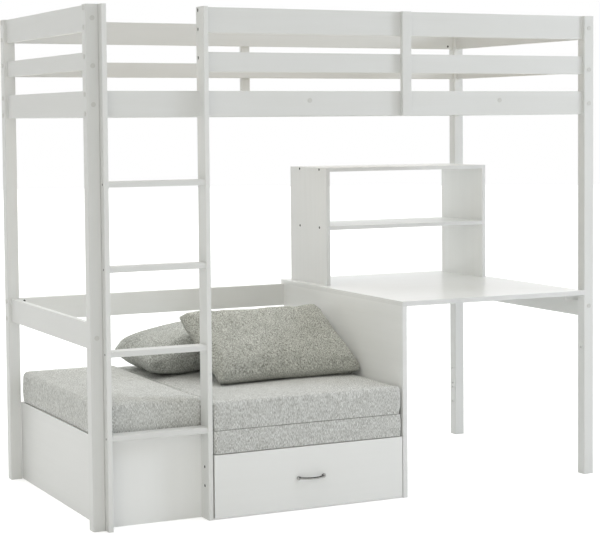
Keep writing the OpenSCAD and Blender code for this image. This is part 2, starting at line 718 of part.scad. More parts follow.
// ---------- fixings ----------
module end_bolt_set(x) {
    for (z = end_levels, rear = [0, 1]) translate([x, rear * bed_w, z])
        rotate([0, 0, rear ? -90 : 90]) {
            bolt_x(post_s);
            barrel_nut(true, post_s + nut_from_end);
        }
}
module side_bolt(x, y, z, turn, grip_from) translate([x, y, z]) rotate([0, 0, turn]) {
    bolt_x(grip_from);
    barrel_nut(false, grip_from + nut_from_end);
}
module frame_bolts() color(steel) place() {
    for (x = [mid_post, bed_l - mid_post]) end_bolt_set(x);
    for (z = side_levels) side_bolt(0, mid_post, z, 0, post_s);
    for (z = guard_levels) side_bolt(stile_r_x, mid_post, z, 0, stile_t);
    for (z = front_levels) side_bolt(bed_l, mid_post, z, 180, post_s);
    for (z = rear_levels) {
        side_bolt(0, bed_w - mid_post, z, 0, post_s);
        side_bolt(bed_l, bed_w - mid_post, z, 180, post_s);
    }
}

// Flat covers over the bolt heads and over the bolts that hold the bunk battens
batten_bolt_xs = [842, 1645];
batten_cap_z = batten_z + batten_h / 2;
module cap() rotate([0, -90, 0]) cylinder(d = cap_d, h = cap_t);
module bolt_caps() color("ivory") place() {
    for (x = [mid_post, bed_l - mid_post], z = end_levels) {
        translate([x, 0, z]) rotate([0, 0, 90]) cap();
        translate([x, bed_w, z]) rotate([0, 0, -90]) cap();
    }
    for (z = rear_levels) {
        translate([0, bed_w - mid_post, z]) cap();
        translate([bed_l, bed_w - mid_post, z]) rotate([0, 0, 180]) cap();
    }
    for (z = front_levels) {
        translate([0, mid_post, z]) cap();
        translate([bed_l, mid_post, z]) rotate([0, 0, 180]) cap();
    }
    for (x = batten_bolt_xs) translate([x, rail_in, batten_cap_z]) rotate([0, 0, 90]) cap();
}

// Screw along +X from the face at X = 0, its head sunk just below that face
module screw() {
    translate([head_recess - screw_head_h, 0, 0]) along_x(screw_head_d, screw_head_h);
    translate([head_recess, 0, 0]) along_x(screw_d, screw_l - head_recess - 1);
}
module screws_both_ends(from_x, to_x, y, z) {
    translate([from_x, y, z]) screw();
    translate([to_x, y, z]) rotate([0, 0, 180]) screw();
}
module panel_screws() color(steel) place() {
    for (y = hutch_screw_ys, z = hutch_screw_zs)
        screws_both_ends(hutch_l_x, hutch_l_x + hutch_l, y, z);
    for (i = [0 : rungs - 1], y = rung_screw_ys)
        screws_both_ends(stile_l_x, stile_end, y, rung_c(i));
}

post_front_left();
post_front_right();
post_rear_left();
post_rear_right();
end_rail_left_top();
end_rail_left_mid();
end_rail_left_side();
end_rail_left_low();
end_rail_right_top();
end_rail_right_mid();
end_rail_right_side();
end_rail_right_low();
side_rail_front();
guard_rail_front_top();
guard_rail_front_mid();
guard_upright_front();
side_rail_rear();
guard_rail_rear_top();
guard_rail_rear_mid();
guard_upright_rear();
low_rail_rear();
ladder_stile_left();
ladder_stile_right();
rung_1();
rung_2();
rung_3();
rung_4();
bunk_battens();
bunk_slats();
box_front_panel();
box_end_panel();
box_divider();
box_slat_deck();
support_battens();
seat_rear_rail();
seat_fixed_slats();
pullout_front();
pullout_sides();
pullout_beams();
pullout_slats();
pullout_axles();
wheel_front_left();
wheel_front_right();
wheel_rear_left();
wheel_rear_right();
bow_handle();
desktop();
desk_side_panel();
hutch_side_left();
hutch_side_right();
hutch_top_shelf();
hutch_mid_shelf();
seat_cushion();
mattress_lower();
mattress_upper();
pillow_front();
pillow_rear();
frame_bolts();
bolt_caps();
panel_screws();
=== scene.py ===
import math

import bpy
import numpy as np
from mathutils import Matrix, Vector
from mathutils.bvhtree import BVHTree


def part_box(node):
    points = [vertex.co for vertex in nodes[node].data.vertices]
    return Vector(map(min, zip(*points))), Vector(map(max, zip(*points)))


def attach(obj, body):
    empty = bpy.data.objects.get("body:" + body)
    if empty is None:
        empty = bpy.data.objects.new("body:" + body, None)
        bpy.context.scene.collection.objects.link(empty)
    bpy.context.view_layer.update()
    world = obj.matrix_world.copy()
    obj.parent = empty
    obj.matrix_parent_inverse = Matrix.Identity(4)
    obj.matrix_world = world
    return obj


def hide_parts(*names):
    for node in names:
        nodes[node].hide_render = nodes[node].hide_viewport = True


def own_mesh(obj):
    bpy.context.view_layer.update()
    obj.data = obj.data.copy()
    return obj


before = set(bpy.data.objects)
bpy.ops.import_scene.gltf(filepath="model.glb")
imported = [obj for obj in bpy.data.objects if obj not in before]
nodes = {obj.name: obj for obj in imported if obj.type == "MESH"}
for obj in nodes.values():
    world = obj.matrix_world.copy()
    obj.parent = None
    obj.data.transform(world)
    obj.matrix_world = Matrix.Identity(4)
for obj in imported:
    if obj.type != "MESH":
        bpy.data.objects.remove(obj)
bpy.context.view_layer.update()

# ---------------------------------------------------------------- view
# The photograph's camera, in the row frame, for an image of 600 by 538
BED_TO_ROW = Vector((-1.035, -0.48975, 0.0))
CAM_AT = Vector((-1.886, -5.605, 1.403)) + BED_TO_ROW
CAM_YAW, CAM_PITCH, CAM_ROLL = math.radians(26.80), math.radians(3.24), math.radians(-0.42)
IMAGE_W, IMAGE_H = 600, 538
SHIFT_UP = 0.085
FOCAL_PX, CENTRE_X, CENTRE_Y = 1731.7, 337.9, IMAGE_H / 2 - IMAGE_W * SHIFT_UP

view = bpy.data.cameras.new("camera")
view.sensor_width = 36
view.lens = FOCAL_PX * view.sensor_width / IMAGE_W
view.shift_x = (IMAGE_W / 2 - CENTRE_X) / IMAGE_W
view.shift_y = (CENTRE_Y - IMAGE_H / 2) / IMAGE_W
camera = bpy.data.objects.new("camera", view)
bpy.context.scene.collection.objects.link(camera)
forward = Vector((math.sin(CAM_YAW) * math.cos(CAM_PITCH),
                  math.cos(CAM_YAW) * math.cos(CAM_PITCH), -math.sin(CAM_PITCH)))
level = Vector((math.cos(CAM_YAW), -math.sin(CAM_YAW), 0))
upward = level.cross(forward)
right = level * math.cos(CAM_ROLL) + upward * math.sin(CAM_ROLL)
up = upward * math.cos(CAM_ROLL) - level * math.sin(CAM_ROLL)
turn = Matrix((right, up, -forward)).transposed().to_4x4()
camera.matrix_world = Matrix.Translation(CAM_AT) @ turn
bpy.context.scene.camera = camera
bpy.context.scene.view_settings.view_transform = "Standard"


# ---------------------------------------------------------------- node helpers
class Tree:
    """Short calls for building a node tree."""

    def __init__(self, tree):
        self.tree = tree
        tree.nodes.clear()

    def add(self, kind, inputs=None, **settings):
        n = self.tree.nodes.new(kind)
        for key, value in settings.items():
            setattr(n, key, value)
        for key, value in (inputs or {}).items():
            socket = n.inputs[key]
            if isinstance(value, bpy.types.NodeSocket):
                self.tree.links.new(value, socket)
            else:
                socket.default_value = value
        return n

    def math(self, operation, a, b=None, c=None, clamp=False):
        values = {i: v for i, v in enumerate((a, b, c)) if v is not None}
        return self.add("ShaderNodeMath", values, operation=operation, use_clamp=clamp).outputs[0]

    def mix(self, factor, a, b, kind="RGBA"):
        n = self.tree.nodes.new("ShaderNodeMix")
        n.data_type = kind
        at = {"FLOAT": (0, 2, 3, 0), "VECTOR": (0, 4, 5, 1), "RGBA": (0, 6, 7, 2)}[kind]
        for i, value in zip(at[:3], (factor, a, b)):
            if isinstance(value, bpy.types.NodeSocket):
                self.tree.links.new(value, n.inputs[i])
            else:
                n.inputs[i].default_value = value
        return n.outputs[at[3]]

    def noise(self, vector, scale, detail=2.0, rough=0.5, distortion=0.0):
        return self.add("ShaderNodeTexNoise", {
            "Vector": vector, "Scale": scale, "Detail": detail,
            "Roughness": rough, "Distortion": distortion}).outputs["Fac"]

    def stretch(self, vector, scale):
        return self.add("ShaderNodeVectorMath", {0: vector, 1: scale},
                        operation="MULTIPLY").outputs[0]

    def spread(self, value, low, high, to_low=0.0, to_high=1.0):
        return self.add("ShaderNodeMapRange", {
            "Value": value, "From Min": low, "From Max": high,
            "To Min": to_low, "To Max": to_high}).outputs[0]


def rgb(r, g, b):
    return (r, g, b, 1.0)


def material(name):
    m = bpy.data.materials.new(name)
    m.use_nodes = True
    return m, Tree(m.node_tree)


def finish_material(t, shader):
    t.add("ShaderNodeOutputMaterial", {"Surface": shader})


# ---------------------------------------------------------------- materials
PAINT = (0.800, 0.806, 0.794)
TIMBER_TONE, BOARD_TONE = 0.885, 1.02
GRAIN = {"x": (5.0, 85.0, 85.0), "y": (85.0, 5.0, 85.0), "z": (85.0, 85.0, 5.0)}


def painted_wood(name, axis, tone):
    """White lacquer over timber: the grain shows faintly through the paint."""
    m, t = material(name)
    at = t.add("ShaderNodeTexCoord").outputs["Object"]
    grain = t.noise(t.stretch(at, GRAIN[axis]), 1.0, 5.0, 0.62, 0.35)
    figure = t.noise(t.stretch(at, [v * 0.22 for v in GRAIN[axis]]), 1.0, 2.0, 0.5, 0.8)
    cloud = t.noise(at, 2.6, 2.0)
    speck = t.noise(at, 900.0, 1.0)
    shade = t.math("ADD", t.spread(grain, 0.3, 0.7, -0.5, 0.5), t.spread(cloud, 0.3, 0.7, -0.6, 0.6))
    shade = t.math("ADD", shade, t.spread(figure, 0.35, 0.65, -0.6, 0.6))
    low = rgb(*[c * tone * 0.980 for c in PAINT[:2]], PAINT[2] * tone * 0.968)
    high = rgb(*[min(c * tone * 1.014, 0.9) for c in PAINT])
    colour = t.mix(t.spread(shade, -1.4, 1.4), low, high)
    height = t.math("ADD", grain, t.math("MULTIPLY", speck, 0.16))
    bump = t.add("ShaderNodeBump", {"Strength": 0.42, "Distance": 0.0002,
                                    "Height": height}).outputs[0]
    shader = t.add("ShaderNodeBsdfPrincipled", {
        "Base Color": colour, "Normal": bump,
        "Roughness": t.spread(t.math("ADD", grain, cloud), 0.6, 1.4, 0.36, 0.5),
        "Specular IOR Level": 0.42, "Coat Weight": 0.08, "Coat Roughness": 0.28})
    finish_material(t, shader.outputs[0])
    return m


def painted_board(name, axis, tone, gloss=0.0, edge=1.0, streaks=1.0):
    """Lacquered board: a fine roller texture, the faintest run along its length, and painted shade on its
    front and rear edges when edge is below 1.
    """
    m, t = material(name)
    at = t.add("ShaderNodeTexCoord").outputs["Object"]
    roller = t.noise(at, 420.0, 2.0, 0.6)
    run = t.noise(t.stretch(at, [v * 0.5 for v in GRAIN[axis]]), 1.0, 4.0, 0.6, 0.4)
    cloud = t.noise(at, 1.9, 2.0)
    shade = t.math("ADD", t.spread(run, 0.3, 0.7, -0.7 * streaks, 0.7 * streaks),
                   t.spread(cloud, 0.3, 0.7, -0.6, 0.6))
    low = rgb(*[c * tone * 0.975 for c in PAINT[:2]], PAINT[2] * tone * 0.970)
    high = rgb(*[min(c * tone * 1.018, 0.9) for c in PAINT])
    colour = t.mix(t.spread(shade, -1.1, 1.1), low, high)
    # Painted shade: faces that look along Y, the boards' front and rear edges, are darkened by the factor
    # edge.
    if edge < 1.0:
        facing = t.add("ShaderNodeSeparateXYZ", {0: t.add("ShaderNodeTexCoord").outputs["Normal"]}).outputs
        front = t.math("GREATER_THAN", t.math("ABSOLUTE", facing[1]), 0.7)
        edge_painted_shade = t.add("ShaderNodeMix", data_type="RGBA", blend_type="MULTIPLY")
        t.tree.links.new(front, edge_painted_shade.inputs[0])
        t.tree.links.new(colour, edge_painted_shade.inputs[6])
        edge_painted_shade.inputs[7].default_value = rgb(edge, edge, edge * 1.01)
        colour = edge_painted_shade.outputs[2]
    bump = t.add("ShaderNodeBump", {
        "Strength": 0.4, "Distance": 0.00012,
        "Height": t.math("ADD", roller, t.math("MULTIPLY", run, 1.1))}).outputs[0]
    shader = t.add("ShaderNodeBsdfPrincipled", {
        "Base Color": colour, "Normal": bump,
        "Roughness": t.spread(cloud, 0.35, 0.65, 0.34, 0.44), "Specular IOR Level": 0.45,
        "Coat Weight": 0.1 + gloss, "Coat Roughness": 0.25 - gloss * 0.2})
    finish_material(t, shader.outputs[0])
    return m


def bare_pine(name, axis):
    """Unpainted softwood: pale ground, darker late-wood lines and a few fine pores."""
    m, t = material(name)
    at = t.add("ShaderNodeTexCoord").outputs["Object"]
    lines = {"x": (1.4, 34.0, 34.0), "y": (34.0, 1.4, 34.0)}[axis]
    rings = t.noise(t.stretch(at, lines), 1.0, 3.0, 0.55, 1.6)
    bands = t.math("PINGPONG", t.math("MULTIPLY", rings, 9.0), 1.0)
    fibre = t.noise(t.stretch(at, [v * 9 for v in lines]), 1.0, 3.0, 0.6)
    board = t.noise(t.stretch(at, (7.0 if axis == "y" else 0.5, 0.4 if axis == "y" else 9.0, 1.0)), 1.0, 0.0)
    tint = t.mix(t.spread(board, 0.35, 0.65), rgb(0.76, 0.68, 0.56), rgb(0.83, 0.77, 0.66))
    dark = t.mix(t.math("POWER", bands, 2.2), tint, rgb(0.62, 0.50, 0.37))
    colour = t.mix(t.spread(fibre, 0.3, 0.7, 0.0, 0.35), dark, tint)
    bump = t.add("ShaderNodeBump", {"Strength": 0.5, "Distance": 0.0003,
                                    "Height": t.math("ADD", fibre, bands)}).outputs[0]
    shader = t.add("ShaderNodeBsdfPrincipled", {
        "Base Color": colour, "Normal": bump, "Specular IOR Level": 0.3,
        "Roughness": t.spread(fibre, 0.3, 0.7, 0.55, 0.72)})
    finish_material(t, shader.outputs[0])
    return m


def melange(name, tone, across, along, contrast, depth):
    """Grey melange upholstery: pale and dark yarns run in short flecks along the warp."""
    m, t = material(name)
    coords = t.add("ShaderNodeTexCoord")
    at = t.add("ShaderNodeSeparateXYZ", {0: coords.outputs["Object"]}).outputs
    way = t.add("ShaderNodeVectorMath", {0: coords.outputs["Normal"]}, operation="ABSOLUTE").outputs[0]
    n = t.add("ShaderNodeSeparateXYZ", {0: way}).outputs
    end_on = t.math("GREATER_THAN", n[0], t.math("MAXIMUM", n[1], n[2]))
    top_on = t.math("GREATER_THAN", n[2], t.math("MAXIMUM", n[0], n[1]))
    front = t.add("ShaderNodeCombineXYZ", {0: at[0], 1: at[2], 2: at[1]}).outputs[0]
    top = t.add("ShaderNodeCombineXYZ", {0: at[0], 1: at[1], 2: at[2]}).outputs[0]
    end = t.add("ShaderNodeCombineXYZ", {0: at[1], 1: at[2], 2: at[0]}).outputs[0]
    cloth = t.mix(top_on, t.mix(end_on, front, end, "VECTOR"), top, "VECTOR")
    sway = t.noise(cloth, 26.0, 1.0)
    cloth = t.add("ShaderNodeVectorMath", {
        0: cloth, 1: t.add("ShaderNodeCombineXYZ", {
            0: t.math("MULTIPLY", t.math("SUBTRACT", sway, 0.5), 0.012)}).outputs[0]},
        operation="ADD").outputs[0]
    flecks = t.noise(t.stretch(cloth, (across, along, 40.0)), 1.0, 3.0, 0.62)
    yarn = t.noise(t.stretch(cloth, (across * 2.6, along * 2.2, 90.0)), 1.0, 2.0, 0.6)
    patch = t.noise(t.stretch(cloth, (38.0, 22.0, 8.0)), 1.0, 2.0)
    sum_ = t.math("ADD", t.spread(flecks, 0.37, 0.63, 0.0, 0.78), t.spread(yarn, 0.34, 0.66, 0.0, 0.22))
    sum_ = t.math("ADD", sum_, t.spread(patch, 0.3, 0.7, -0.05, 0.05))
    sum_ = t.math("MULTIPLY_ADD", sum_, contrast, (1.0 - contrast) / 2, clamp=True)
    ramp = t.add("ShaderNodeValToRGB", {0: sum_})
    stops = [(0.06, (0.425, 0.424, 0.398)), (0.38, (0.530, 0.528, 0.499)),
             (0.62, (0.598, 0.598, 0.568)), (0.94, (0.715, 0.718, 0.688))]
    middle = [(a + b) / 2 for a, b in zip(stops[1][1], stops[2][1])]
    for place, _ in stops[1:-1]:
        ramp.color_ramp.elements.new(place)
    for element, (place, c) in zip(ramp.color_ramp.elements, stops):
        element.position = place
        element.color = rgb(*[(m + (v - m) * depth) * k for v, m, k in zip(c, middle, tone)])
    threads = t.add("ShaderNodeSeparateXYZ", {0: cloth}).outputs
    warp = t.math("SINE", t.math("MULTIPLY", threads[0], 2 * math.pi / 0.0017))
    weft = t.math("SINE", t.math("MULTIPLY", threads[1], 2 * math.pi / 0.0021))
    weave = t.math("MULTIPLY", t.math("MULTIPLY", warp, weft), 0.22)
    height = t.math("ADD", t.math("ADD", weave, flecks), t.math("MULTIPLY", yarn, 0.8))
    bump = t.add("ShaderNodeBump", {"Strength": 0.6, "Distance": 0.0011, "Height": height}).outputs[0]
    shader = t.add("ShaderNodeBsdfPrincipled", {
        "Base Color": ramp.outputs[0], "Normal": bump, "Specular IOR Level": 0.15,
        "Roughness": t.spread(yarn, 0.3, 0.7, 0.82, 0.95), "Sheen Weight": 0.18,
        "Sheen Roughness": 0.55, "Sheen Tint": rgb(0.95, 0.95, 0.93)})
    finish_material(t, shader.outputs[0])
    return m


def seam_thread(name):
    m, t = material(name)
    at = t.add("ShaderNodeTexCoord").outputs["Object"]
    twist = t.noise(at, 700.0, 2.0)
    colour = t.mix(t.spread(twist, 0.3, 0.7), rgb(0.30, 0.30, 0.28), rgb(0.50, 0.50, 0.47))
    bump = t.add("ShaderNodeBump", {"Strength": 0.5, "Distance": 0.0004, "Height": twist}).outputs[0]
    shader = t.add("ShaderNodeBsdfPrincipled", {
        "Base Color": colour, "Normal": bump, "Roughness": 0.9, "Specular IOR Level": 0.1})
    finish_material(t, shader.outputs[0])
    return m


def metal(name, colour, low, high):
    """Bright or dull metal: fine scratches vary its roughness."""
    m, t = material(name)
    at = t.add("ShaderNodeTexCoord").outputs["Object"]
    scratch = t.noise(t.stretch(at, (900.0, 900.0, 900.0)), 1.0, 3.0, 0.6)
    cloud = t.noise(at, 60.0, 2.0)
    tint = t.mix(t.spread(cloud, 0.3, 0.7), rgb(*[c * 0.93 for c in colour]), rgb(*colour))
    bump = t.add("ShaderNodeBump", {"Strength": 0.15, "Distance": 0.00005, "Height": scratch}).outputs[0]
    shader = t.add("ShaderNodeBsdfPrincipled", {
        "Base Color": tint, "Normal": bump, "Metallic": 1.0,
        "Roughness": t.spread(scratch, 0.3, 0.7, low, high)})
    finish_material(t, shader.outputs[0])
    return m


def painted_reflection_metal(name):
    """Polished handle with a painted reflection: pale along its face and dark along its upper rim, as a
    bright room would reflect in it.
    """
    m, t = material(name)
    coords = t.add("ShaderNodeTexCoord").outputs
    facing = t.add("ShaderNodeSeparateXYZ", {0: coords["Normal"]}).outputs
    scratch = t.noise(t.stretch(coords["Object"], (140.0, 900.0, 900.0)), 1.0, 3.0, 0.6)
    # Painted reflection: the colour follows the way each face points, darkest on faces that look up and
    # palest on those that look to the front and a little down.
    shade = t.math("ADD", facing[2], t.spread(scratch, 0.3, 0.7, -0.08, 0.08))
    ramp = t.add("ShaderNodeValToRGB", {0: t.spread(shade, -1.0, 1.0)})
    stops = [(0.10, 0.20), (0.36, 0.33), (0.58, 0.28), (0.78, 0.05)]
    ramp.color_ramp.elements.new(stops[1][0])
    ramp.color_ramp.elements.new(stops[2][0])
    for element, (place, v) in zip(ramp.color_ramp.elements, stops):
        element.position = place
        element.color = rgb(v, v * 0.99, v * 0.95)
    shader = t.add("ShaderNodeBsdfPrincipled", {
        "Base Color": ramp.outputs[0], "Metallic": 1.0,
        "Roughness": t.spread(scratch, 0.3, 0.7, 0.14, 0.24)})
    finish_material(t, shader.outputs[0])
    return m


def plastic(name, colour, rough):
    m, t = material(name)
    at = t.add("ShaderNodeTexCoord").outputs["Object"]
    grit = t.noise(at, 260.0, 3.0, 0.6)
    cloud = t.noise(at, 30.0, 1.0)
    tint = t.mix(t.spread(cloud, 0.3, 0.7), rgb(*[c * 0.94 for c in colour]), rgb(*colour))
    bump = t.add("ShaderNodeBump", {"Strength": 0.25, "Distance": 0.0001, "Height": grit}).outputs[0]
    shader = t.add("ShaderNodeBsdfPrincipled", {
        "Base Color": tint, "Normal": bump,
        "Roughness": t.spread(grit, 0.3, 0.7, rough - 0.06, rough + 0.06)})
    finish_material(t, shader.outputs[0])
    return m


paint = {a: painted_wood("painted_wood_" + a, a, TIMBER_TONE) for a in "xyz"}
board = {a: painted_board("painted_board_" + a, a, BOARD_TONE) for a in "xyz"}
# Painted light: these board copies differ from board mainly in brightness. The desktop, desk side panel and
# right hutch side are lighter to paint out shade that falls on them under the bunk, the box front is lighter
# to paint out the ladder's shadow on it, and the box end and left hutch side are darker as painted shade.
# The edge factors paint shade on front and rear edges.
desk_board = painted_board("painted_desktop", "x", BOARD_TONE * 1.03, 0.4, edge=0.83)
shelf_board = painted_board("painted_shelf", "x", BOARD_TONE * 1.02, edge=0.85)
shelf_left = painted_board("painted_shelf_left", "z", BOARD_TONE * 0.90, edge=0.94)
shelf_right = painted_board("painted_shelf_right", "z", BOARD_TONE * 1.06, edge=0.83)
panel_board = painted_board("painted_desk_side", "y", BOARD_TONE * 1.05, edge=0.90)
front_board = painted_board("painted_drawer_front", "x", BOARD_TONE * 1.01, streaks=0.4)
box_board = painted_board("painted_box_front", "z", BOARD_TONE * 1.08, streaks=0.5)
end_board = painted_board("painted_box_end", "y", BOARD_TONE * 0.91, streaks=0.7)
# Painted light: the stiles' and low rails' paints are lighter copies of the timber paint, painting out shade
# that falls on them under the bunk.
stile_paint = painted_wood("painted_stile", "z", TIMBER_TONE * 1.06)
low_paint = painted_wood("painted_low_rail", "x", TIMBER_TONE * 1.12)
slat_x = bare_pine("bare_pine_x", "x")
slat_y = bare_pine("bare_pine_y", "y")
BOX_WEAVE = {"across": 850.0, "along": 98.0, "contrast": 2.3, "depth": 1.35}
PILLOW_WEAVE = {"across": 720.0, "along": 180.0, "contrast": 3.4}
# Painted light: the seat cushion's cover is a lighter copy of the mattress's, painting out shade on it, and
# the rear pillow's is a lighter copy of the front pillow's, painting out the shade on the rear pillow.
cloth_box = melange("melange_mattress", (1.02, 1.028, 1.042), **BOX_WEAVE)
cloth_seat = melange("melange_cushion", (1.095, 1.105, 1.12), **BOX_WEAVE)
cloth_front = melange("melange_pillow_front", (0.745, 0.751, 0.712), depth=2.1, **PILLOW_WEAVE)
cloth_rear = melange("melange_pillow_rear", (0.815, 0.832, 0.820), depth=2.0, **PILLOW_WEAVE)
thread = seam_thread("seam_thread")
chrome_painted_reflection = painted_reflection_metal("bright_metal_painted_reflection")
dark_steel = metal("dark_steel", (0.11, 0.11, 0.10), 0.4, 0.55)
# Partly painted shade: the screws are real, but their near-black stands in for the shade of the holes they
# sit in.
black_screw_hole_shade = plastic("black_screw", (0.012, 0.012, 0.012), 0.6)
zinc = metal("zinc_steel", (0.42, 0.42, 0.43), 0.32, 0.5)
cap_plastic = plastic("cap_plastic", (0.625, 0.625, 0.600), 0.42)
wheel_plastic = plastic("wheel_plastic", (0.035, 0.035, 0.038), 0.45)

FINISH = {
    "post_": paint["z"], "ladder_stile_": stile_paint, "guard_upright_": paint["z"],
    "end_rail_": paint["y"], "side_rail_": paint["x"], "guard_rail_": paint["x"],
    "low_rail_": low_paint, "rung_": paint["x"], "bunk_battens": paint["x"],
    "support_battens": paint["y"], "seat_rear_rail": paint["x"], "pullout_beams": paint["x"],
    "bunk_slats": slat_y, "seat_fixed_slats": slat_y, "pullout_slats": slat_y,
    "box_slat_deck": slat_x, "box_front_panel": box_board, "box_end_panel": end_board,
    "box_divider": board["y"], "pullout_front": front_board, "pullout_sides": board["y"],
    "desktop": desk_board, "desk_side_panel": panel_board, "hutch_side_left": shelf_left,
    "hutch_side_right": shelf_right,
    "hutch_top_shelf": shelf_board, "hutch_mid_shelf": shelf_board,
    "wheel_": wheel_plastic, "pullout_axles": zinc, "frame_bolts": dark_steel, "panel_screws": black_screw_hole_shade,
    "bolt_caps": cap_plastic, "bow_handle": chrome_painted_reflection,
    "seat_cushion": cloth_seat, "mattress_": cloth_box, "pillow_": cloth_rear,
}
for name, node in nodes.items():
    finish = next(m for start, m in FINISH.items() if name.startswith(start))
    for slot in node.material_slots:
        slot.material = finish


# ---------------------------------------------------------------- mesh helpers
def mesh_object(name, verts, faces, mats, face_mat=None):
    mesh = bpy.data.meshes.new(name)
    mesh.from_pydata([tuple(v) for v in verts], [], [tuple(f) for f in faces])
    for m in mats:
        mesh.materials.append(m)
    if face_mat is not None:
        mesh.polygons.foreach_set("material_index", face_mat)
    mesh.polygons.foreach_set("use_smooth", [True] * len(mesh.polygons))
    mesh.update()
    o = bpy.data.objects.new(name, mesh)
    bpy.context.scene.collection.objects.link(o)
    return o


def subdivided(o):
    s = o.modifiers.new("smooth", "SUBSURF")
    s.levels = s.render_levels = 1


def waves(points, seed, lengths, amount):
    """A smooth random height for each point: a sum of plane waves."""
    draw = np.random.RandomState(seed)
    total = np.zeros(len(points))
    for length in lengths:
        for _ in range(5):
            way = draw.normal(size=3)
            way /= np.linalg.norm(way)
            phase = draw.uniform(0, 2 * math.pi)
            total += np.sin(points @ way * (2 * math.pi / length) + phase) * length / lengths[0]
    return total * amount / (2.2 * sum(l / lengths[0] for l in lengths))


def vertex_normals(verts, faces):
    f = np.array(faces)
    a, b, c, d = (verts[f[:, i]] for i in range(4))
    n = np.cross(c - a, d - b)
    out = np.zeros_like(verts)
    for i in range(4):
        np.add.at(out, f[:, i], n)
    return out / np.maximum(np.linalg.norm(out, axis=1), 1e-12)[:, None]


def lattice_steps(size, cell, edge):
    """Places along one side of a box, closer together near its two ends."""
    near = [0.0]
    for step in (0.12, 0.3, 0.55, 0.8, 1.1, 1.5):
        near.append(edge * step)
    inner = size - 2 * near[-1]
    n = max(2, int(round(inner / cell)))
    middle = [near[-1] + inner * i / n for i in range(1, n)]
    return np.array(near + middle + [size - v for v in reversed(near)])


def box_lattice(xs, ys, zs):
    """The closed surface of a box as quads on a grid of the given places."""
    nx, ny, nz = len(xs), len(ys), len(zs)
    index, verts, faces = {}, [], []

    def at(i, j, k):
        if (i, j, k) not in index:
            index[i, j, k] = len(verts)
            verts.append((xs[i], ys[j], zs[k]))
        return index[i, j, k]

    for i in range(nx - 1):
        for j in range(ny - 1):
            faces.append((at(i, j, 0), at(i, j + 1, 0), at(i + 1, j + 1, 0), at(i + 1, j, 0)))
            k = nz - 1
            faces.append((at(i, j, k), at(i + 1, j, k), at(i + 1, j + 1, k), at(i, j + 1, k)))
    for k in range(nz - 1):
        for i in range(nx - 1):
            faces.append((at(i, 0, k), at(i + 1, 0, k), at(i + 1, 0, k + 1), at(i, 0, k + 1)))
            j = ny - 1
            faces.append((at(i, j, k), at(i, j, k + 1), at(i + 1, j, k + 1), at(i + 1, j, k)))
        for j in range(ny - 1):
            faces.append((at(0, j, k), at(0, j, k + 1), at(0, j + 1, k + 1), at(0, j + 1, k)))
            i = nx - 1
            faces.append((at(i, j, k), at(i, j + 1, k), at(i, j + 1, k + 1), at(i, j, k + 1)))
    return np.array(verts), faces


def quarter(a, b, r):
    """Maps the square corner of size r to a quarter disc, both measured outward."""
    m = np.maximum(a, b)
    length = np.maximum(np.hypot(a, b), 1e-12)
    return np.where(m > 0, a / length * m, 0), np.where(m > 0, b / length * m, 0)


PLAN_CELL, HEIGHT_CELL = 0.011, 0.008
SIDE_DRAW, SIDE_SWELL = 0.004, 0.0022
COVER_INSET, CLOSE_INSET = 0.0012, 0.0005


